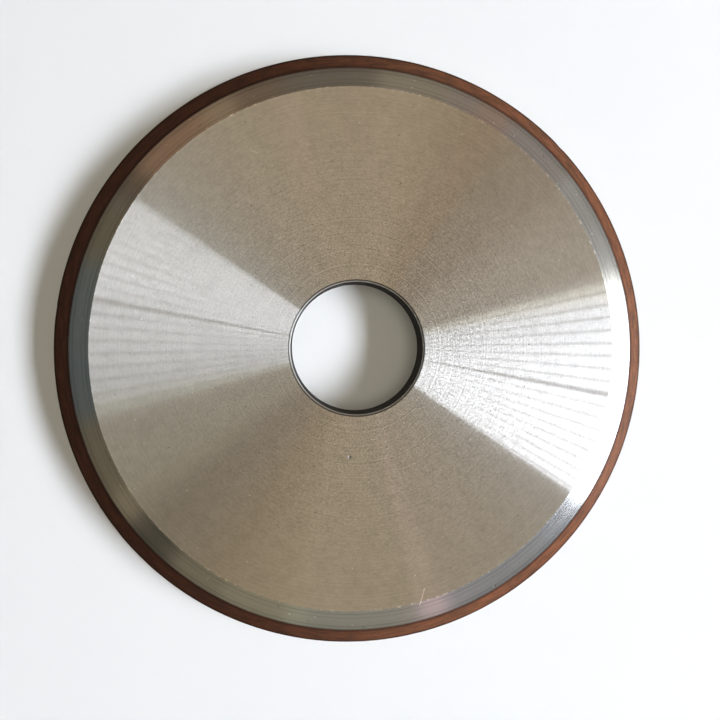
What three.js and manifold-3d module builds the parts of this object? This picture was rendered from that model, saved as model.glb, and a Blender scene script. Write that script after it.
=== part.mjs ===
// Bevelled diamond grinding wheel, 150 mm across, 10 mm thick, on a 32 mm arbor bore.
//
// A turned steel core carries a ring of brown resin bond in two layers: a thin backing layer with no
// diamond in it, pressed onto the core's grooved seat, and the diamond rim that does the grinding.
// The wheel is a solid of revolution about Z. Its flat back face lies on z = 0, and its front face,
// with the bevels, looks up. Millimetres.

import * as THREE from 'three';
import { mergeVertices } from 'three/addons/utils/BufferGeometryUtils.js';
import Module from 'manifold-3d';

const wasm = await Module();
wasm.setup();

// Driving dimensions
const OUTER_DIAMETER = 150;
const BORE_DIAMETER = 32;
const THICKNESS = 10;
const DIAMOND_DEPTH = 5; // radial depth of the diamond rim, on the back face
const BACKING_DEPTH = 1.1; // radial depth of the backing layer
const SHOULDER_WIDTH = 5.2; // radial width of the steel core's own shallow bevel
const SHOULDER_DROP = 1.9; // how far that bevel falls below the front face
const EDGE_LAND = 0.3; // height of the narrow cylindrical land round the outer edge
const BORE_CHAMFER = 0.5;
const GROOVE_COUNT = 3; // V grooves turned into the seat, which key the bond to the steel
const GROOVE_DEPTH = 0.6;
const GROOVE_WIDTH = 1.2;
const PUNCH_DIAMETER = 0.8; // centre-punch dot on the front face
const PUNCH_DEPTH = 0.4;
const PUNCH_RADIUS_FROM_AXIS = 26.5;
const PUNCH_ANGLE = THREE.MathUtils.degToRad(-94);

// Derived places, as radii from the axis and heights above the back face
const OUTER_RADIUS = OUTER_DIAMETER / 2;
const BORE_RADIUS = BORE_DIAMETER / 2;
const BACKING_RADIUS = OUTER_RADIUS - DIAMOND_DEPTH;
const SEAT_RADIUS = BACKING_RADIUS - BACKING_DEPTH;
const FACE_RADIUS = SEAT_RADIUS - SHOULDER_WIDTH;
const SHOULDER_HEIGHT = THICKNESS - SHOULDER_DROP;

const SEGMENTS_AROUND = 128;
const PUNCH_SEGMENTS = 16;

// Height of the working cone at a given radius. It falls in a straight line from the edge of the
// steel shoulder to the land.
function coneHeight(radius) {
  const share = (radius - SEAT_RADIUS) / (OUTER_RADIUS - SEAT_RADIUS);
  return SHOULDER_HEIGHT + (EDGE_LAND - SHOULDER_HEIGHT) * share;
}

// The grooves' outline on the seat, going up. The core and the backing layer share it.
function grooveOutline() {
  const outline = [];
  for (let groove = 1; groove <= GROOVE_COUNT; groove += 1) {
    const middle = (SHOULDER_HEIGHT * groove) / (GROOVE_COUNT + 1);
    outline.push([SEAT_RADIUS, middle - GROOVE_WIDTH / 2]);
    outline.push([SEAT_RADIUS - GROOVE_DEPTH, middle]);
    outline.push([SEAT_RADIUS, middle + GROOVE_WIDTH / 2]);
  }
  return outline;
}

// Turns a closed section about Z. The section's points are [radius, height], and they go round it
// with the material on their left.
function turned(section) {
  const points = [...section, section[0]].map(([radius, height]) => new THREE.Vector2(radius, height));
  const geometry = new THREE.LatheGeometry(points, SEGMENTS_AROUND);
  geometry.rotateX(Math.PI / 2);
  return geometry;
}

function toManifold(geometry) {
  const bare = geometry.clone();
  bare.deleteAttribute('normal');
  bare.deleteAttribute('uv');
  const merged = mergeVertices(bare, 1e-5);
  const vertProperties = new Float32Array(merged.attributes.position.array);
  const triVerts = new Uint32Array(merged.index.array);
  return new wasm.Manifold(new wasm.Mesh({ numProp: 3, vertProperties, triVerts }));
}

function toGeometry(manifold) {
  const mesh = manifold.getMesh();
  const geometry = new THREE.BufferGeometry();
  geometry.setAttribute('position', new THREE.BufferAttribute(mesh.vertProperties, 3));
  geometry.setIndex(new THREE.BufferAttribute(mesh.triVerts, 1));
  geometry.computeVertexNormals();
  return geometry;
}

// The punch dot as a solid: a cone standing on its tip, which reaches a little above the front face.
function punchTool() {
  const reach = 2;
  const cone = new THREE.ConeGeometry((PUNCH_DIAMETER / 2) * reach, PUNCH_DEPTH * reach, PUNCH_SEGMENTS);
  cone.rotateX(-Math.PI / 2);
  cone.translate(
    PUNCH_RADIUS_FROM_AXIS * Math.cos(PUNCH_ANGLE),
    PUNCH_RADIUS_FROM_AXIS * Math.sin(PUNCH_ANGLE),
    THICKNESS - PUNCH_DEPTH + (PUNCH_DEPTH * reach) / 2,
  );
  return cone;
}

// The steel disc: flat faces, a chamfered bore, a shallow bevel outside the front face, and the seat
// that holds the bond.
function steelCore() {
  const body = turned([
    [BORE_RADIUS + BORE_CHAMFER, 0],
    [SEAT_RADIUS, 0],
    ...grooveOutline(),
    [SEAT_RADIUS, SHOULDER_HEIGHT],
    [FACE_RADIUS, THICKNESS],
    [BORE_RADIUS + BORE_CHAMFER, THICKNESS],
    [BORE_RADIUS, THICKNESS - BORE_CHAMFER],
    [BORE_RADIUS, BORE_CHAMFER],
  ]);
  return toGeometry(toManifold(body).subtract(toManifold(punchTool())));
}

// The layer of bond without diamond, which fills the seat's grooves.
function backingRing() {
  return turned([
    [SEAT_RADIUS, 0],
    [BACKING_RADIUS, 0],
    [BACKING_RADIUS, coneHeight(BACKING_RADIUS)],
    [SEAT_RADIUS, SHOULDER_HEIGHT],
    ...grooveOutline().reverse(),
  ]);
}

// The diamond section: a wedge whose steep cone runs out to the land at the wheel's outer edge.
function diamondRim() {
  return turned([
    [BACKING_RADIUS, 0],
    [OUTER_RADIUS, 0],
    [OUTER_RADIUS, EDGE_LAND],
    [BACKING_RADIUS, coneHeight(BACKING_RADIUS)],
  ]);
}

const turnedSteel = new THREE.MeshStandardMaterial({ color: 0x9d9484, roughness: 0.35, metalness: 1 });
const backingBond = new THREE.MeshStandardMaterial({ color: 0x5b382b, roughness: 0.6, metalness: 0 });
const diamondBond = new THREE.MeshStandardMaterial({ color: 0x733c28, roughness: 0.5, metalness: 0 });

function piece(name, geometry, material) {
  const mesh = new THREE.Mesh(geometry, material);
  mesh.name = name;
  return mesh;
}

const wheel = new THREE.Group();
wheel.add(piece('steel_core', steelCore(), turnedSteel));
wheel.add(piece('backing_ring', backingRing(), backingBond));
wheel.add(piece('diamond_rim', diamondRim(), diamondBond));

export default wheel;
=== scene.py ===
"""Looks of the diamond grinding wheel: finely turned steel core, backing ring and resin-bond rim.

Everything is in metres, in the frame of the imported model: the wheel's axis is Z, its back face lies on
z = 0 and the bevelled front face looks up. Sections are lists of (radius, height) points, which go round
a section with the material on their left, and are turned about Z.
"""

from collections import namedtuple
import math

import bpy
import bmesh
import numpy as np
from mathutils import Matrix, Vector, noise


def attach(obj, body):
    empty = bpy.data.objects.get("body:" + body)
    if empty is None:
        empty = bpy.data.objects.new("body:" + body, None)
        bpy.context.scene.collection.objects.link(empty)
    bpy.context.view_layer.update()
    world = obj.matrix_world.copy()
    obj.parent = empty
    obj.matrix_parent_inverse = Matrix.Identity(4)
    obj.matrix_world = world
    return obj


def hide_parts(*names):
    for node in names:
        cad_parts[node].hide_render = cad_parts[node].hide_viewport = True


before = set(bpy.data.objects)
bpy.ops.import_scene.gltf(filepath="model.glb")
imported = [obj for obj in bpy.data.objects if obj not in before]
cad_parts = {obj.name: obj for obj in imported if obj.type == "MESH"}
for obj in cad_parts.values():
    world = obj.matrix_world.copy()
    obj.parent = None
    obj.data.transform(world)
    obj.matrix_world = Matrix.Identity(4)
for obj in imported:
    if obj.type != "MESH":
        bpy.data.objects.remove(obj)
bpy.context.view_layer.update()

MM = 0.001
DEGREE = math.pi / 180
TOUCHING = 0.01 * MM


# ---------------------------------------------------------------- sizes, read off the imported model

def rings_of(node):
    """The (radius, height) of every vertex of a CAD node, in metres, each once."""
    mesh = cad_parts[node].data
    return sorted({(round(math.hypot(v.co.x, v.co.y), 6), round(v.co.z, 6)) for v in mesh.vertices})


CORE_RINGS = rings_of("steel_core")
BACKING_RINGS = rings_of("backing_ring")
RIM_RINGS = rings_of("diamond_rim")
THICKNESS = max(height for radius, height in CORE_RINGS)
FRONT_RADII = [radius for radius, height in CORE_RINGS if height > THICKNESS - TOUCHING]
BORE_RADIUS = min(radius for radius, height in CORE_RINGS)
BORE_CHAMFER = min(FRONT_RADII) - BORE_RADIUS
FACE_RADIUS = max(FRONT_RADII)
SEAT_RADIUS = max(radius for radius, height in CORE_RINGS)
SHOULDER_HEIGHT = max(height for radius, height in BACKING_RINGS)
BACKING_RADIUS = max(radius for radius, height in BACKING_RINGS)
BACKING_HEIGHT = max(height for radius, height in RIM_RINGS)
OUTER_RADIUS = max(radius for radius, height in RIM_RINGS)
EDGE_LAND = max(height for radius, height in RIM_RINGS if radius > OUTER_RADIUS - TOUCHING)
SEAT_OUTLINE = sorted(
    ((radius, height) for radius, height in BACKING_RINGS if radius < SEAT_RADIUS + TOUCHING),
    key=lambda ring: ring[1],
)
SEAT_GROOVES = SEAT_OUTLINE[1:-1]


def punch_place():
    """Where the centre-punch dot's tip is: the lowest vertex under the front face, away from the edges."""
    inner, outer = BORE_RADIUS + 2 * MM, FACE_RADIUS - 2 * MM
    pitted = [
        v.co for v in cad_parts["steel_core"].data.vertices
        if inner < math.hypot(v.co.x, v.co.y) < outer and THICKNESS / 2 < v.co.z < THICKNESS - 0.05 * MM
    ]
    return min(pitted, key=lambda co: co.z).copy()


PUNCH_TIP = punch_place()


# ---------------------------------------------------------------- meshes

BACK_FACE_STRETCH = 5


def rounded(section, radii, steps=4):
    """The section with each corner of a radius above 0 replaced by an arc. radii has one entry per point."""
    outline = []
    for i, (point, radius) in enumerate(zip(section, radii)):
        corner = Vector(point)
        before = Vector(section[i - 1]) - corner
        after = Vector(section[(i + 1) % len(section)]) - corner
        if radius <= 0:
            outline.append(tuple(corner))
            continue
        before.normalize()
        after.normalize()
        half = before.angle(after) / 2
        reach = radius / math.tan(half)
        centre = corner + (before + after).normalized() * (radius / math.sin(half))
        start = corner + before * reach - centre
        end = corner + after * reach - centre
        turn = start.angle_signed(end)
        for step in range(steps + 1):
            arm = Matrix.Rotation(-turn * step / steps, 2) @ start
            outline.append(tuple(centre + arm))
    return outline


def stepped(outline, longest):
    """The closed outline with extra points, so that no stretch is longer than longest.

    The flat back face, which the wheel lies on, gets longer stretches.
    """
    points = []
    for i, point in enumerate(outline):
        follower = outline[(i + 1) % len(outline)]
        on_back = max(point[1], follower[1]) < 0.001 * MM
        limit = longest * BACK_FACE_STRETCH if on_back else longest
        count = max(1, math.ceil(math.dist(point, follower) / limit - 1e-6))
        for step in range(count):
            share = step / count
            points.append((
                point[0] + (follower[0] - point[0]) * share,
                point[1] + (follower[1] - point[1]) * share,
            ))
    return points


def add_piece(name, vertices, faces):
    """A new object in the scene, from its vertices and faces."""
    mesh = bpy.data.meshes.new(name)
    mesh.from_pydata(vertices, [], faces)
    piece = bpy.data.objects.new(name, mesh)
    bpy.context.scene.collection.objects.link(piece)
    return piece


def turned_mesh(name, outline, segments, shape=None):
    """A closed mesh: the outline turned about Z. shape may move the vertices, an array of x, y, z rows."""
    ring = np.array(outline)
    angles = np.linspace(0, 2 * math.pi, segments, endpoint=False)
    count = len(ring)
    vertices = np.empty((segments, count, 3))
    vertices[:, :, 0] = np.cos(angles)[:, None] * ring[:, 0]
    vertices[:, :, 1] = np.sin(angles)[:, None] * ring[:, 0]
    vertices[:, :, 2] = ring[:, 1]
    vertices = vertices.reshape(-1, 3)
    if shape is not None:
        vertices = shape(vertices)
    around, along = np.meshgrid(np.arange(segments), np.arange(count), indexing="ij")
    ahead, beside = (around + 1) % segments, (along + 1) % count
    corners = [(around, along), (ahead, along), (ahead, beside), (around, beside)]
    faces = np.stack([spoke * count + step for spoke, step in corners], -1).reshape(-1, 4)
    piece = add_piece(name, vertices.tolist(), faces.tolist())
    piece.data.validate()
    return piece


def sheet(name, corners):
    """A flat surface with four corners."""
    return add_piece(name, corners, [(0, 1, 2, 3)])


def square_corners(half, height):
    return [(-half, -half, height), (half, -half, height), (half, half, height), (-half, half, height)]


def smooth_by_angle(piece, degrees):
    """Smooth shading, with an edge kept sharp where the faces meet at more than that angle."""
    piece.data.shade_smooth()
    piece.data.set_sharp_from_angle(angle=degrees * DEGREE)


def paint(piece, materials, pick):
    """Gives each face the material that pick(centre, normal) names by its index."""
    for material in materials:
        piece.data.materials.append(material)
    for face in piece.data.polygons:
        face.material_index = pick(face.center, face.normal)


# ---------------------------------------------------------------- shader building

class Nodes:
    """A short way to write a node tree."""

    def __init__(self, tree):
        self.tree = tree
        tree.nodes.clear()

    def add(self, kind, settings=None, **inputs):
        node = self.tree.nodes.new(kind)
        for key, value in (settings or {}).items():
            setattr(node, key, value)
        for key, value in inputs.items():
            self.feed(node.inputs[key.replace("_", " ")], value)
        return node

    def feed(self, socket, value):
        if isinstance(value, bpy.types.NodeSocket):
            self.tree.links.new(value, socket)
        else:
            socket.default_value = value

    def math(self, operation, *values):
        node = self.tree.nodes.new("ShaderNodeMath")
        node.operation = operation
        for socket, value in zip(node.inputs, values):
            self.feed(socket, value)
        return node.outputs[0]

    def plus(self, first, second):
        return self.math("ADD", first, second)

    def minus(self, first, second):
        return self.math("SUBTRACT", first, second)

    def times(self, first, second):
        return self.math("MULTIPLY", first, second)

    def size(self, value):
        return self.math("ABSOLUTE", value)

    def vector(self, operation, *values):
        node = self.tree.nodes.new("ShaderNodeVectorMath")
        node.operation = operation
        for socket, value in zip(node.inputs, values):
            self.feed(socket, value)
        return node.outputs["Value" if operation in ("DOT_PRODUCT", "LENGTH") else "Vector"]

    def scale(self, vector, factor):
        node = self.tree.nodes.new("ShaderNodeVectorMath")
        node.operation = "SCALE"
        self.feed(node.inputs[0], vector)
        self.feed(node.inputs["Scale"], factor)
        return node.outputs[0]

    def split(self, vector):
        return self.add("ShaderNodeSeparateXYZ", Vector=vector).outputs

    def map_range(self, value, low, high, to_low=0.0, to_high=1.0, smooth=False):
        node = self.tree.nodes.new("ShaderNodeMapRange")
        node.interpolation_type = "SMOOTHSTEP" if smooth else "LINEAR"
        for name, number in (("Value", value), ("From Min", low), ("From Max", high),
                             ("To Min", to_low), ("To Max", to_high)):
            self.feed(node.inputs[name], number)
        return node.outputs[0]

    def mix(self, share, first, second):
        node = self.tree.nodes.new("ShaderNodeMix")
        node.data_type = "RGBA"
        self.feed(node.inputs["Factor"], share)
        self.feed(node.inputs["A"], first)
        self.feed(node.inputs["B"], second)
        return node.outputs["Result"]

    def noise(self, vector, scale, detail, roughness):
        node = self.add("ShaderNodeTexNoise", Vector=vector, Scale=scale, Detail=detail, Roughness=roughness)
        return node.outputs["Fac"]

    def ripple(self, vector, scale, detail, roughness):
        """Noise about 0."""
        return self.minus(self.noise(vector, scale, detail, roughness), 0.5)

    def line_ripple(self, value, scale):
        """Noise about 0 along a line."""
        node = self.add("ShaderNodeTexNoise", {"noise_dimensions": "1D"}, W=value, Scale=scale, Detail=2.0)
        return self.minus(node.outputs["Fac"], 0.5)

    def blend(self, share, first, second):
        """A mix of two shaders."""
        node = self.add("ShaderNodeMixShader", Fac=share)
        self.feed(node.inputs[1], first)
        self.feed(node.inputs[2], second)
        return node.outputs[0]

    def emission(self, colour, strength):
        return self.add("ShaderNodeEmission", Color=colour, Strength=strength).outputs[0]

    def surface(self, shader):
        self.add("ShaderNodeOutputMaterial", Surface=shader)


def new_material(name):
    material = bpy.data.materials.new(name)
    material.use_nodes = True
    return material, Nodes(material.node_tree)


# Sockets of a place on the wheel. spoke is the level unit vector from the axis to it; around and outward are
# the directions along and across the tool marks.
Place = namedtuple("Place", "point spoke radius height normal around outward")


def turning_place(nodes):
    point = nodes.add("ShaderNodeTexCoord").outputs["Object"]
    flat = nodes.vector("MULTIPLY", point, (1, 1, 0))
    radius = nodes.vector("LENGTH", flat)
    normal = nodes.add("ShaderNodeNewGeometry").outputs["Normal"]
    around = nodes.vector("NORMALIZE", nodes.vector("CROSS_PRODUCT", (0, 0, 1), flat))
    outward = nodes.vector("NORMALIZE", nodes.vector("CROSS_PRODUCT", around, normal))
    spoke = nodes.vector("NORMALIZE", flat)
    return Place(point, spoke, radius, nodes.split(point)["Z"], normal, around, outward)


def streak_lobe(nodes, tint, normal, around, along, across):
    """A glossy lobe of turned metal, with its spreads along and across the tool marks, as slopes."""
    return nodes.add(
        "ShaderNodeBsdfAnisotropic", {"distribution": "GGX"},
        Color=tint, Roughness=(along * across) ** 0.25, Anisotropy=1 - math.sqrt(along / across),
        Rotation=0.0, Normal=normal, Tangent=around,
    ).outputs[0]


# ---------------------------------------------------------------- steel

# How fine the patterns are: repeats round the wheel, and repeats in a metre.
DASHES_AROUND = 55.0
BURR_HIGHLIGHT_AROUND = 60.0
DASHES_PER_METRE = 2200.0
GRIT_PER_METRE = 3000.0
GLINTS_PER_METRE = 2300.0
MOTTLE_PER_METRE = 450.0
FILM_PER_METRE = 28.0

# The tool marks are at their strongest near the bore, and fade outwards.
STRONG_MARKS_RADIUS, WEAK_MARKS_RADIUS = 20 * MM, 58 * MM
STRONG_RINGS_RADIUS, WEAK_RINGS_RADIUS = 22 * MM, 50 * MM

# Dark lines at the bore's two edges: where the edge is, and how light the steel stays there.
DARK_EDGES = [
    (BORE_RADIUS + BORE_CHAMFER, THICKNESS, 0.2),
    (BORE_RADIUS, THICKNESS - BORE_CHAMFER, 0.03),
]

# Scratches on the front face: where each starts, its direction in degrees, its length, and how much it
# lightens (above 0) or darkens the steel.
SCRATCHES = [
    ((15.3 * MM, -62.6 * MM), 74, 4.2 * MM, 0.7),
    ((54.0 * MM, -6.2 * MM), 118, 3.0 * MM, -0.12),
    ((52.6 * MM, -3.4 * MM), 84, 2.6 * MM, -0.12),
    ((57.4 * MM, -16.4 * MM), 150, 1.6 * MM, -0.18),
    ((58.6 * MM, -18.0 * MM), 20, 1.2 * MM, -0.2),
    ((33.0 * MM, 31.0 * MM), 35, 2.2 * MM, 0.25),
    ((-24.0 * MM, 47.0 * MM), 160, 1.8 * MM, 0.3),
]
SCRATCH_WIDTH = 0.22 * MM
PIT_SIZE, PIT_TONE = 0.22 * MM, 0.45
NICK_SIZE, NICK_TONE = 0.2 * MM, 1.7


def specks(nodes, point, offset, pitch, share, size):
    """1 inside small round spots, 0 elsewhere. One spot for a share of the cells of that pitch."""
    place = nodes.vector("ADD", point, (offset, offset, 0))
    cells = nodes.add(
        "ShaderNodeTexVoronoi", {"voronoi_dimensions": "2D"}, Vector=place, Scale=1 / pitch, Randomness=1.0,
    )
    chosen = nodes.math("GREATER_THAN", nodes.split(cells.outputs["Color"])["X"], 1 - share)
    spot = nodes.map_range(cells.outputs["Distance"], size / pitch * 0.6, size / pitch, 1.0, 0.0)
    return nodes.times(chosen, spot)


def scratch(nodes, point, start, degrees, length):
    """1 along a fine straight scratch, 0 elsewhere."""
    way = Vector((math.cos(degrees * DEGREE), math.sin(degrees * DEGREE), 0))
    local = nodes.vector("SUBTRACT", point, (*start, 0))
    along = nodes.vector("DOT_PRODUCT", local, tuple(way))
    off = nodes.size(nodes.vector("DOT_PRODUCT", local, (-way.y, way.x, 0)))
    beyond = nodes.minus(nodes.size(nodes.minus(along, length / 2)), length / 2)
    gap = nodes.math("MAXIMUM", off, beyond)
    return nodes.map_range(gap, SCRATCH_WIDTH * 0.3, SCRATCH_WIDTH * 0.7, 1.0, 0.0)


def with_flaws(nodes, point, shade, spacing):
    """The shade with dark pits, bright nicks and the scratches."""
    pits = specks(nodes, point, 0.31, spacing * 1.3, 0.35, PIT_SIZE)
    nicks = specks(nodes, point, 0.83, spacing, 0.3, NICK_SIZE)
    flaws = [(pits, PIT_TONE), (nicks, NICK_TONE)]
    for start, degrees, length, change in SCRATCHES:
        flaws.append((scratch(nodes, point, start, degrees, length), 1.0 + change))
    for mask, tone in flaws:
        shade = nodes.times(shade, nodes.map_range(mask, 0.0, 1.0, 1.0, tone))
    return shade


def edge_gap(nodes, place, edge_radius, edge_height):
    """How far the place is from the round edge of that radius and height."""
    across = nodes.minus(place.radius, edge_radius)
    up = nodes.minus(place.height, edge_height)
    return nodes.vector("LENGTH", nodes.add("ShaderNodeCombineXYZ", X=across, Y=up).outputs[0])


def with_edges(nodes, place, shade):
    """The shade with dark lines at the bore, a bright burr with a painted highlight at the front edge and a
    dimmer zone at the rim.
    """
    for edge_radius, edge_height, tone in DARK_EDGES:
        gap = edge_gap(nodes, place, edge_radius, edge_height)
        shade = nodes.times(shade, nodes.map_range(gap, 0.12 * MM, 0.24 * MM, tone, 1.0))
    # The front edge is made up to 2.2 times lighter: a burr, with a painted edge highlight on it.
    burr_and_highlight = nodes.map_range(nodes.noise(place.spoke, BURR_HIGHLIGHT_AROUND, 4.0, 0.7), 0.52, 0.72, 1.0, 2.2)
    burr_gap = edge_gap(nodes, place, FACE_RADIUS, THICKNESS)
    shade = nodes.times(shade, nodes.map_range(burr_gap, 0.1 * MM, 0.25 * MM, burr_and_highlight, 1.0))
    dim_from, dim_to = SEAT_RADIUS - 1.6 * MM, SEAT_RADIUS - 0.4 * MM
    return nodes.times(shade, nodes.map_range(place.radius, dim_from, dim_to, 1.0, 0.82, smooth=True))


def turned_steel(
    name, colour, sharp, soft, across, soft_share, pitch, mark_tilt, mark_tone, speckle, haze, flaws=0,
):
    """Bare steel with concentric tool marks.

    sharp and soft are the spreads along the marks of its two lobes, across their shared spread across the
    marks, and soft_share the second lobe's part. pitch is the tool marks' pitch, mark_tilt how far single
    marks lean and mark_tone how much they vary the colour. speckle is how much the grain varies the colour,
    haze the part that scatters evenly. flaws is the spacing of pits and nicks, or 0 for none.
    """
    material, nodes = new_material(name)
    place = turning_place(nodes)
    near_bore = nodes.map_range(place.radius, WEAK_MARKS_RADIUS, STRONG_MARKS_RADIUS, 0.22, 1.0)

    # Tool marks: each turn of the lathe leaves a groove that leans the surface a little inwards or outwards.
    # The grooves are torn into dashes with grit between them.
    travel = nodes.plus(place.radius, place.height)
    lines = nodes.line_ripple(travel, 1 / pitch)
    climb = nodes.scale((0, 0, 1), nodes.times(travel, DASHES_PER_METRE))
    dashes = nodes.ripple(nodes.vector("ADD", nodes.scale(place.spoke, DASHES_AROUND), climb), 1.0, 1.0, 0.7)
    torn = nodes.plus(dashes, nodes.ripple(place.point, GRIT_PER_METRE, 1.0, 0.7))
    lean = nodes.plus(torn, nodes.times(lines, 0.45))
    tilt_across = nodes.times(nodes.times(lean, near_bore), mark_tilt)

    # A few grains stand at odd angles along the marks and glint.
    odd = nodes.ripple(nodes.vector("ADD", place.point, (0.3, 0.3, 0)), GLINTS_PER_METRE, 0.0, 0.7)
    rare = nodes.times(odd, nodes.math("POWER", nodes.size(odd), 4.0))
    tilt_around = nodes.times(nodes.times(rare, near_bore), mark_tilt * 30)
    lean_across = nodes.scale(place.outward, tilt_across)
    lean_around = nodes.scale(place.around, tilt_around)
    bent = nodes.vector("ADD", lean_across, lean_around)
    normal = nodes.vector("NORMALIZE", nodes.vector("ADD", place.normal, bent))

    # Colour: a faint film that varies over the disc, mottling, the grain and the tool marks.
    film = nodes.map_range(nodes.noise(place.point, FILM_PER_METRE, 3.0, 0.6), 0.3, 0.7, 0.95, 1.0)
    mottle = nodes.times(nodes.ripple(place.point, MOTTLE_PER_METRE, 2.0, 0.6), speckle * 0.3)
    grain = nodes.times(torn, nodes.math("MULTIPLY_ADD", near_bore, speckle * 0.9, speckle * 0.1))
    ring_tone = nodes.map_range(
        place.radius, WEAK_RINGS_RADIUS, STRONG_RINGS_RADIUS, mark_tone * 0.4, mark_tone,
    )
    shade = nodes.plus(film, nodes.plus(mottle, grain))
    shade = nodes.times(shade, nodes.plus(nodes.times(lines, ring_tone), 1.0))
    shade = nodes.times(shade, nodes.map_range(place.radius, BORE_RADIUS, FACE_RADIUS, 1.01, 1.08))
    shade = with_edges(nodes, place, shade)
    if flaws:
        shade = with_flaws(nodes, place.point, shade, flaws)
    tint = nodes.scale(colour, shade)

    crisp = streak_lobe(nodes, tint, normal, place.around, sharp, across)
    hazy = streak_lobe(nodes, tint, normal, place.around, soft, across)
    body = nodes.add("ShaderNodeBsdfPrincipled", Base_Color=tint, Metallic=1.0, Roughness=0.6, Normal=normal)
    scattered = nodes.times(nodes.plus(0.3, near_bore), haze)
    nodes.surface(nodes.blend(scattered, nodes.blend(soft_share, crisp, hazy), body.outputs[0]))
    return material


turned_face = turned_steel(
    "turned_face_steel", (0.60, 0.595, 0.58), sharp=0.0025, soft=0.018, across=0.39, soft_share=0.4,
    pitch=0.42 * MM, mark_tilt=0.24, mark_tone=0.5, speckle=0.95, haze=0.08, flaws=13 * MM,
)
shoulder_steel = turned_steel(
    "shoulder_steel", (0.60, 0.595, 0.58), sharp=0.02, soft=0.06, across=0.08, soft_share=0.3,
    pitch=0.3 * MM, mark_tilt=0.3, mark_tone=1.6, speckle=0.2, haze=0.0, flaws=5 * MM,
)
# The bore's steel is given a colour near black, a tenth of the face's: painted shade for the inside of the
# bore.
shade_painted_bore_steel = turned_steel(
    "shade_painted_bore_steel", (0.055, 0.053, 0.052), sharp=0.05, soft=0.15, across=0.2, soft_share=0.5,
    pitch=0.8 * MM, mark_tilt=0.1, mark_tone=1.2, speckle=0.3, haze=0.3,
)
chamfer_steel = turned_steel(
    "chamfer_steel", (0.80, 0.79, 0.76), sharp=0.05, soft=0.2, across=0.5, soft_share=0.5,
    pitch=0.3 * MM, mark_tilt=0.1, mark_tone=0.3, speckle=0.2, haze=0.5,
)


# ---------------------------------------------------------------- resin

CLOUDS_AROUND = 16.0
CLOUDS_PER_METRE = 300.0
RESIN_GRAINS_PER_METRE = 3500.0
PALE_GRIT_TONE = (0.30, 0.17, 0.10, 1)
PORE_TONE = (0.018, 0.007, 0.004, 1)
# Painted shade: the resin's tone on the side away from the window.
SHADED_SIDE_TONE = (0.03, 0.008, 0.006, 1)
# Dark tone for grime at the seam, and at the outer edge for dirt with a painted contact shadow.
GRIME_AND_SHADE_TONE = (0.026, 0.014, 0.010, 1)


def resin_bond(name, light, dark, grit_share):
    """Brown phenolic resin, ground, with fine grit in it. The side away from the window is painted darker,
    which is painted shade; the outer edge is darker from dirt and a painted contact shadow, and the seam from
    grime.
    """
    material, nodes = new_material(name)
    place = turning_place(nodes)
    climb = nodes.scale((0, 0, 1), nodes.times(nodes.minus(place.radius, place.height), CLOUDS_PER_METRE))
    cloud = nodes.noise(nodes.vector("ADD", nodes.scale(place.spoke, CLOUDS_AROUND), climb), 1.0, 4.0, 0.65)
    base = nodes.mix(nodes.map_range(cloud, 0.34, 0.66), dark, light)
    # Painted shade: the resin is made darker on the side away from the window, towards -X.
    painted_shade_side = nodes.map_range(nodes.split(place.spoke)["X"], 0.3, -0.5, 0.0, 0.58, smooth=True)
    base = nodes.mix(painted_shade_side, base, SHADED_SIDE_TONE)

    cells = nodes.add(
        "ShaderNodeTexVoronoi", {"feature": "F1"}, Vector=place.point, Scale=RESIN_GRAINS_PER_METRE,
    )
    grit = nodes.map_range(cells.outputs["Color"], 1.0 - grit_share, 1.0)
    base = nodes.mix(nodes.times(grit, 0.3), base, PALE_GRIT_TONE)
    speck = nodes.noise(place.point, RESIN_GRAINS_PER_METRE, 2.0, 0.7)
    base = nodes.mix(nodes.map_range(speck, 0.35, 0.5, 0.4, 0.0), base, PORE_TONE)

    # The outer edge is darker: partly dirt, partly a painted contact shadow where the rim meets the floor.
    edge_from, edge_to = OUTER_RADIUS - 1.3 * MM, OUTER_RADIUS - 0.3 * MM
    dirty_shaded_edge = nodes.map_range(place.radius, edge_from, edge_to, 0.0, 0.85, smooth=True)
    grimy_seam = nodes.map_range(place.radius, SEAT_RADIUS + 1.4 * MM, SEAT_RADIUS, 0.0, 0.55, smooth=True)
    base = nodes.mix(nodes.math("MAXIMUM", dirty_shaded_edge, grimy_seam), base, GRIME_AND_SHADE_TONE)

    bump = nodes.add("ShaderNodeBump", Strength=0.35, Distance=0.02 * MM, Height=speck).outputs[0]
    body = nodes.add(
        "ShaderNodeBsdfPrincipled", Base_Color=base, Metallic=0.0, Specular_IOR_Level=0.0,
        Roughness=nodes.map_range(cloud, 0.3, 0.7, 0.55, 0.7), Normal=bump,
    )
    sheen = streak_lobe(nodes, (1, 1, 1, 1), bump, place.around, 0.06, 0.7)
    nodes.surface(nodes.blend(0.014, body.outputs[0], sheen))
    return material


diamond_bond = resin_bond(
    "diamond_bond_resin", light=(0.205, 0.078, 0.039, 1), dark=(0.085, 0.041, 0.024, 1), grit_share=0.06,
)
backing_bond = resin_bond(
    "backing_bond_resin", light=(0.135, 0.050, 0.028, 1), dark=(0.075, 0.034, 0.020, 1), grit_share=0.01,
)


# ---------------------------------------------------------------- pieces

MARK_PITCH = 0.4 * MM
DEEPEST_MARK = 0.0012 * MM
PLAIN_EDGE = 0.3 * MM
PATCH_RADIUS = 1.1 * MM

# The punch dot's outline, from its dished edge inwards: distance from its middle and depth, as shares of its
# full depth.
PUNCH_PROFILE = [(1.3, 0.004), (1.1, 0.04), (0.8, 0.30), (0.4, 0.68), (0.15, 0.95)]


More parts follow.
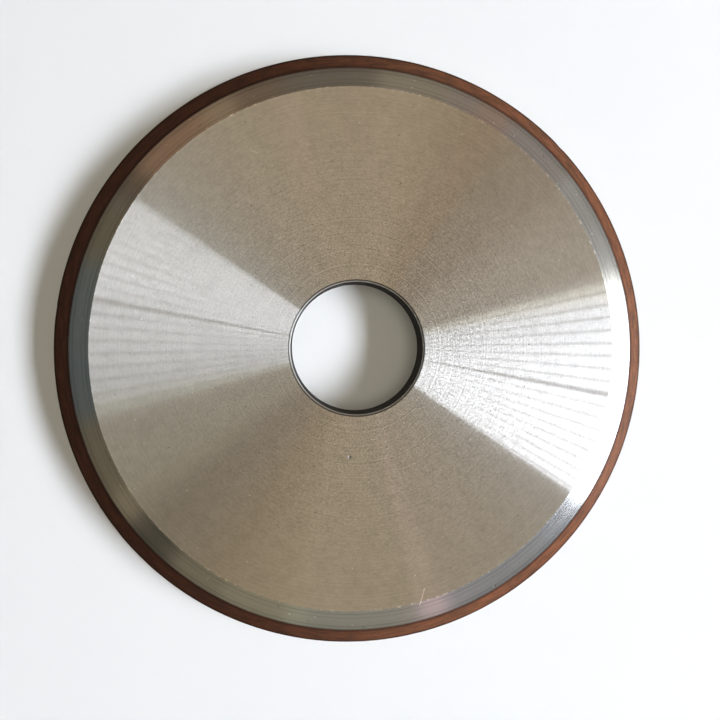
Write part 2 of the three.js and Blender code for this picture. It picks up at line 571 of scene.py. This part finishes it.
def tool_marks(vertices):
    """Cuts shallow concentric grooves into the front face. They stay under the face's own height."""
    chance = np.random.default_rng(7)
    depths = chance.random(256) ** 3 * DEEPEST_MARK
    radius = np.hypot(vertices[:, 0], vertices[:, 1])
    on_face = (vertices[:, 2] > THICKNESS - 0.001 * MM) & (radius < FACE_RADIUS - PLAIN_EDGE)
    on_face &= radius > BORE_RADIUS + BORE_CHAMFER + PLAIN_EDGE
    turn = ((radius - BORE_RADIUS) / MARK_PITCH).astype(int) % len(depths)
    vertices[:, 2] -= np.where(on_face, depths[turn], 0.0)
    return vertices


def cut_punch_dot(piece):
    """Replaces a small round patch of the front face by a dished one with the punch dot's cone in it."""
    depth = THICKNESS - PUNCH_TIP.z
    centre = Vector((PUNCH_TIP.x, PUNCH_TIP.y, THICKNESS))
    patch = bmesh.new()
    patch.from_mesh(piece.data)
    near = [vert for vert in patch.verts if (vert.co - centre).length < PATCH_RADIUS]
    bmesh.ops.delete(patch, geom=near, context="VERTS")
    rim = [vert for vert in patch.verts if vert.is_boundary]
    rim.sort(key=lambda vert: math.atan2(vert.co.y - centre.y, vert.co.x - centre.x))
    loop = rim
    for reach, share in PUNCH_PROFILE:
        inner = []
        for vert in rim:
            way = vert.co - centre
            way.z = 0
            place = centre + way.normalized() * (reach * depth) - Vector((0, 0, share * depth))
            inner.append(patch.verts.new(place))
        for i in range(len(loop)):
            j = (i + 1) % len(loop)
            patch.faces.new((loop[i], loop[j], inner[j], inner[i]))
        loop = inner
    tip = patch.verts.new(PUNCH_TIP)
    for i in range(len(loop)):
        patch.faces.new((loop[i], loop[(i + 1) % len(loop)], tip))
    patch.to_mesh(piece.data)
    patch.free()


def build_core():
    """The steel disc, with small edge breaks, the seat's key grooves and the punch dot."""
    section = [
        (BORE_RADIUS + BORE_CHAMFER, 0.0),
        (SEAT_RADIUS, 0.0),
        *SEAT_GROOVES,
        (SEAT_RADIUS, SHOULDER_HEIGHT),
        (FACE_RADIUS, THICKNESS),
        (BORE_RADIUS + BORE_CHAMFER, THICKNESS),
        (BORE_RADIUS, THICKNESS - BORE_CHAMFER),
        (BORE_RADIUS, BORE_CHAMFER),
    ]
    small, front, bore = 0.05 * MM, 0.15 * MM, 0.04 * MM
    breaks = [small] * 2 + [0.0] * len(SEAT_GROOVES) + [small, front] + [bore] * 4
    outline = stepped(rounded(section, breaks), 0.4 * MM)
    core = turned_mesh("steel_core_turned", outline, 384, tool_marks)
    cut_punch_dot(core)
    return core


def core_zone(centre, normal):
    """Which of the core's materials a face has: that of the flat faces, shoulder, bore or bore chamfers."""
    radius = math.hypot(centre.x, centre.y)
    if radius < BORE_RADIUS + TOUCHING and BORE_CHAMFER < centre.z < THICKNESS - BORE_CHAMFER:
        return 2
    if radius > FACE_RADIUS and centre.z > SHOULDER_HEIGHT - 0.1 * MM:
        return 1
    if radius < BORE_RADIUS + BORE_CHAMFER and normal.z < 0.9:
        return 3
    return 0


def build_backing():
    section = [
        (SEAT_RADIUS, 0.0),
        (BACKING_RADIUS, 0.0),
        (BACKING_RADIUS, BACKING_HEIGHT),
        (SEAT_RADIUS, SHOULDER_HEIGHT),
        *reversed(SEAT_GROOVES),
    ]
    return turned_mesh("backing_ring_bond", stepped(section, 0.4 * MM), 384)


def rim_wear(vertices):
    """Leaves the working cone slightly uneven, with a few nicks. Points only move inwards."""
    roughness, nick_depth = 0.02 * MM, 0.5 * MM
    for vertex in vertices:
        radius = math.hypot(vertex[0], vertex[1])
        if radius < BACKING_RADIUS + 0.3 * MM or vertex[2] < 0.05 * MM:
            continue
        place = Vector(vertex)
        rough = 0.5 + 0.5 * noise.noise(place * 900)
        nick = max(0.0, noise.noise(place * 160) - 0.45)
        shrink = 1 - (roughness * rough + nick_depth * nick) / radius
        vertex[0] *= shrink
        vertex[1] *= shrink
    return vertices


def build_rim():
    section = [
        (BACKING_RADIUS, 0.0),
        (OUTER_RADIUS, 0.0),
        (OUTER_RADIUS, EDGE_LAND),
        (BACKING_RADIUS, BACKING_HEIGHT),
    ]
    outline = stepped(rounded(section, [0.0, 0.08 * MM, 0.1 * MM, 0.0]), 0.35 * MM)
    return turned_mesh("diamond_rim_bond", outline, 768, rim_wear)


core = build_core()
paint(core, [turned_face, shoulder_steel, shade_painted_bore_steel, chamfer_steel], core_zone)
smooth_by_angle(core, 30)
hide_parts("steel_core")
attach(core, "root")

backing = build_backing()
paint(backing, [backing_bond], lambda centre, normal: 0)
smooth_by_angle(backing, 30)
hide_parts("backing_ring")
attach(backing, "root")

rim = build_rim()
paint(rim, [diamond_bond], lambda centre, normal: 0)
smooth_by_angle(rim, 40)
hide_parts("diamond_rim")
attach(rim, "root")


# ---------------------------------------------------------------- floor

BACKDROP_TONE = (0.86, 0.87, 0.88, 1)
FLOOR_TONE = (0.76, 0.765, 0.77, 1)


def build_floor():
    """A pale floor. Far from the wheel the camera sees it fade into the backdrop."""
    floor = sheet("floor", square_corners(3.0, -0.03 * MM))
    material, nodes = new_material("pale_floor")
    away = nodes.vector("LENGTH", nodes.add("ShaderNodeTexCoord").outputs["Object"])
    seen = nodes.add("ShaderNodeLightPath").outputs["Is Camera Ray"]
    faded = nodes.times(nodes.map_range(away, 0.16, 0.5, smooth=True), seen)
    plain = nodes.add(
        "ShaderNodeBsdfPrincipled", Base_Color=FLOOR_TONE, Roughness=0.8, Specular_IOR_Level=0.1,
    )
    nodes.surface(nodes.blend(faded, plain.outputs[0], nodes.emission(BACKDROP_TONE, 1.0)))
    floor.data.materials.append(material)


# ---------------------------------------------------------------- camera

CAMERA_PLACE = Vector((-10.6 * MM, 2.9 * MM, THICKNESS + 178.1 * MM))
CAMERA_AIM = Vector((1.85 * MM, 4.4 * MM, THICKNESS))
CAMERA_LENS = 36.76
CAMERA_SHIFT = (-0.0065, -0.0418)


def build_camera():
    data = bpy.data.cameras.new("camera")
    camera = bpy.data.objects.new("camera", data)
    bpy.context.scene.collection.objects.link(camera)
    bpy.context.scene.camera = camera
    data.sensor_width = 36.0
    data.lens = CAMERA_LENS
    data.shift_x, data.shift_y = CAMERA_SHIFT
    data.clip_start = 0.01
    data.dof.use_dof = False
    ahead = (CAMERA_AIM - CAMERA_PLACE).normalized()
    right = ahead.cross(Vector((0, 1, 0))).normalized()
    up = right.cross(ahead)
    turn = Matrix((right, up, -ahead)).transposed()
    camera.matrix_world = Matrix.Translation(CAMERA_PLACE) @ turn.to_4x4()


# ---------------------------------------------------------------- window and fill lamp

# The window stands upright on the right. Its sides, post and bars are given as slopes from the wheel's axis:
# towards -Y, and up. Two softboxes make it: one throws the light and the shadows, and a taller, dimmer one
# is there for the reflections.
WINDOW_DISTANCE = 1.4
WINDOW_FAR_SIDE, WINDOW_NEAR_SIDE = 0.645, -0.28
WINDOW_MARGIN = 0.06
THROWN_SPAN = (0.515, 0.80)
THROWN_STRENGTH = 65.0
REFLECTED_SPAN = (0.30, 1.70)
REFLECTED_STRENGTH = 8.5
WINDOW_POST = 0.192
WINDOW_BAR_PITCH = 0.048
WINDOW_TINT = (0.83, 0.88, 0.965, 1)
CURTAIN_TINT = (0.84, 0.85, 0.78, 1)

# The bars lean, more so higher up, because the turned face mirrors them to a camera that is off the axis.
# They are at their own slopes at this distance up the window, from its foot to the wheel.
UPRIGHT_REACH = 1.19

FILL_PLACE = Vector((0.1, 0.0, 1.1))
FILL_HALF_WIDTH = 0.35
FILL_TINT = (1.0, 0.93, 0.75, 1)
FILL_STRENGTH = 2.35


def leaning_side(nodes):
    """The slope towards -Y of a place on the pane, with the lean of the bars taken out."""
    place = nodes.split(nodes.add("ShaderNodeTexCoord").outputs["Object"])
    straight = nodes.math("DIVIDE", place["Y"], -WINDOW_DISTANCE)
    rise = nodes.math("DIVIDE", place["Z"], WINDOW_DISTANCE)
    reach = nodes.math("SQRT", nodes.plus(nodes.times(rise, rise), 1.0))
    camera_slopes = (CAMERA_PLACE.x / CAMERA_PLACE.z, CAMERA_PLACE.y / CAMERA_PLACE.z)
    off_axis = nodes.math("MULTIPLY_ADD", straight, *camera_slopes)
    return nodes.minus(straight, nodes.times(off_axis, nodes.minus(reach, UPRIGHT_REACH)))


def window_bars(nodes, side):
    """How much light gets past the bars: little at a bar, and least at the post."""
    off_post = nodes.size(nodes.minus(side, WINDOW_POST))
    turns = nodes.math("DIVIDE", off_post, WINDOW_BAR_PITCH)
    off_bar = nodes.size(nodes.minus(turns, nodes.math("ROUND", turns)))
    return nodes.times(
        nodes.map_range(off_bar, 0.08, 0.13, 0.24, 1.0), nodes.map_range(off_post, 0.009, 0.011, 0.1, 1.0),
    )


def window(name, span, strength):
    """A softbox with upright bars before it, one of them a thick post. It is dimmer towards its near side."""
    low, high = span
    far, near = WINDOW_FAR_SIDE + WINDOW_MARGIN, WINDOW_NEAR_SIDE - WINDOW_MARGIN
    slopes = [(far, low), (near, low), (near, high), (far, high)]
    pane = sheet(name, [
        (WINDOW_DISTANCE, -side * WINDOW_DISTANCE, up * WINDOW_DISTANCE) for side, up in slopes
    ])
    material, nodes = new_material(name)
    side = leaning_side(nodes)
    inside = nodes.times(
        nodes.map_range(side, WINDOW_NEAR_SIDE, WINDOW_NEAR_SIDE + 0.125, smooth=True),
        nodes.map_range(side, WINDOW_FAR_SIDE - 0.006, WINDOW_FAR_SIDE, 1.0, 0.0),
    )
    fade = nodes.map_range(side, WINDOW_NEAR_SIDE + 0.12, WINDOW_POST + 0.05, 0.6, 1.0)
    glow = nodes.times(fade, nodes.times(window_bars(nodes, side), strength))
    curtain_edge, curtain_end = WINDOW_NEAR_SIDE + 0.06, WINDOW_NEAR_SIDE + 0.16
    curtained = nodes.map_range(side, curtain_edge, curtain_end, 1.0, 0.0, smooth=True)
    light = nodes.emission(nodes.mix(curtained, WINDOW_TINT, CURTAIN_TINT), glow)
    nodes.surface(nodes.blend(inside, nodes.add("ShaderNodeBsdfTransparent").outputs[0], light))
    pane.data.materials.append(material)
    pane.visible_camera = False
    pane.visible_shadow = False
    return pane


def build_fill():
    """A large soft lamp overhead, which only fills the shadows."""
    lamp = sheet("fill_lamp", square_corners(FILL_HALF_WIDTH, 0))
    turn = (-FILL_PLACE).to_track_quat("-Z", "Y")
    lamp.matrix_world = Matrix.Translation(FILL_PLACE) @ turn.to_matrix().to_4x4()
    material, nodes = new_material("fill_lamp")
    nodes.surface(nodes.emission(FILL_TINT, FILL_STRENGTH))
    lamp.data.materials.append(material)
    lamp.visible_camera = False
    lamp.visible_glossy = False
    lamp.visible_shadow = False


# ---------------------------------------------------------------- room

# The room's furniture and walls, as upright cards: where each ends, in degrees, and its colour. Degrees run
# clockwise from the right of the wheel, as the camera sees it.
ROOM_CARDS = [
    (-162, (0.130, 0.148, 0.138)),
    (-148, (0.165, 0.135, 0.078)),
    (-147, (0.200, 0.165, 0.130)),
    (-140, (0.118, 0.080, 0.050)),
    (-122, (0.360, 0.210, 0.120)),
    (-114, (0.430, 0.300, 0.180)),
    (-103, (0.205, 0.135, 0.085)),
    (-82, (0.190, 0.155, 0.118)),
    (-67, (0.390, 0.330, 0.240)),
    (-60, (0.390, 0.320, 0.265)),
    (-53, (0.500, 0.330, 0.250)),
    (-36, (0.410, 0.365, 0.330)),
    (-34, (0.700, 0.690, 0.650)),
    (-24, (0.500, 0.480, 0.450)),
    (-13, (0.580, 0.570, 0.540)),
    (0, (0.9, 0.9, 0.86)),
    (32, (0.95, 0.95, 0.9)),
    (43, (0.440, 0.470, 0.520)),
    (67, (0.450, 0.450, 0.460)),
    (72, (1.050, 0.800, 0.820)),
    (96, (0.430, 0.410, 0.340)),
    (100, (0.540, 0.530, 0.390)),
    (114, (0.390, 0.345, 0.235)),
    (127, (0.290, 0.245, 0.165)),
    (138, (0.085, 0.074, 0.054)),
    (146, (0.360, 0.290, 0.185)),
    (162, (0.205, 0.165, 0.104)),
    (180, (0.120, 0.142, 0.142)),
]
CARD_MIDDLE = 0.53
CARD_HALF_HEIGHT = (0.12, 0.2)

# The ceiling's tone in each direction, in the same degrees.
CEILING_TONES = [
    (-180, (0.50, 0.47, 0.38)),
    (-138, (0.84, 0.84, 0.74)),
    (-118, (0.77, 0.69, 0.50)),
    (-100, (0.79, 0.62, 0.39)),
    (-75, (0.77, 0.59, 0.40)),
    (-52, (0.47, 0.31, 0.16)),
    (-20, (0.90, 0.74, 0.60)),
    (45, (0.47, 0.38, 0.28)),
    (95, (0.68, 0.53, 0.32)),
    (120, (0.16, 0.15, 0.085)),
    (139, (0.12, 0.115, 0.065)),
    (140, (0.53, 0.54, 0.41)),
    (165, (0.36, 0.38, 0.31)),
    (179, (0.50, 0.47, 0.38)),
]
CEILING_CENTRE = Vector((0.12, 0.0, 1.0)).normalized()

# The room lights matt surfaces less than it is mirrored, because the fill lamp lights them too.
ROOM_SHARE_FOR_DIFFUSE = 0.25


def direction_ramp(nodes, share, tones, interpolation):
    """A colour ramp over the directions, from a list of (degrees, colour)."""
    ramp = nodes.add("ShaderNodeValToRGB", Fac=share)
    ramp.color_ramp.interpolation = interpolation
    stops = ramp.color_ramp.elements
    while len(stops) < len(tones):
        stops.new(0.5)
    for stop, (degrees, tone) in zip(stops, tones):
        stop.position = degrees / 360 + 0.5
        stop.color = (*tone, 1)
    return ramp.outputs["Color"]


def build_world():
    """A dim warm room: a ceiling overhead, and cards of other tones standing round the sides."""
    world = bpy.data.worlds.new("room")
    world.use_nodes = True
    bpy.context.scene.world = world
    nodes = Nodes(world.node_tree)
    way = nodes.add("ShaderNodeTexCoord").outputs["Generated"]
    split = nodes.split(way)
    turn = nodes.math("ARCTAN2", nodes.times(split["Y"], -1.0), split["X"])
    share = nodes.plus(nodes.math("DIVIDE", turn, 2 * math.pi), 0.5)

    starts = [-180] + [end for end, tone in ROOM_CARDS[:-1]]
    card_tones = [(start, tone) for start, (end, tone) in zip(starts, ROOM_CARDS)]
    cards = direction_ramp(nodes, share, card_tones, "CONSTANT")
    shelf = nodes.noise(nodes.vector("MULTIPLY", way, (3, 3, 26)), 1.0, 3.0, 0.6)
    cards = nodes.scale(cards, nodes.map_range(shelf, 0.3, 0.7, 0.65, 1.05))
    off_cards = nodes.size(nodes.minus(split["Z"], CARD_MIDDLE))
    cards = nodes.scale(cards, nodes.map_range(off_cards, *CARD_HALF_HEIGHT, 1.0, 0.35, smooth=True))

    ceiling = direction_ramp(nodes, share, CEILING_TONES, "LINEAR")
    overhead = nodes.map_range(nodes.vector("DOT_PRODUCT", way, CEILING_CENTRE), 0.72, 0.87, smooth=True)
    room = nodes.mix(overhead, cards, ceiling)
    path = nodes.add("ShaderNodeLightPath").outputs
    room = nodes.scale(room, nodes.map_range(path["Is Diffuse Ray"], 0.0, 1.0, 1.0, ROOM_SHARE_FOR_DIFFUSE))
    colour = nodes.mix(path["Is Camera Ray"], room, BACKDROP_TONE)
    background = nodes.add("ShaderNodeBackground", Color=colour, Strength=1.0)
    nodes.add("ShaderNodeOutputWorld", Surface=background.outputs[0])


build_floor()
window("thrown_window", THROWN_SPAN, THROWN_STRENGTH).visible_glossy = False
window("reflected_window", REFLECTED_SPAN, REFLECTED_STRENGTH).visible_diffuse = False
build_fill()
build_world()
build_camera()
bpy.context.scene.view_settings.view_transform = "Standard"
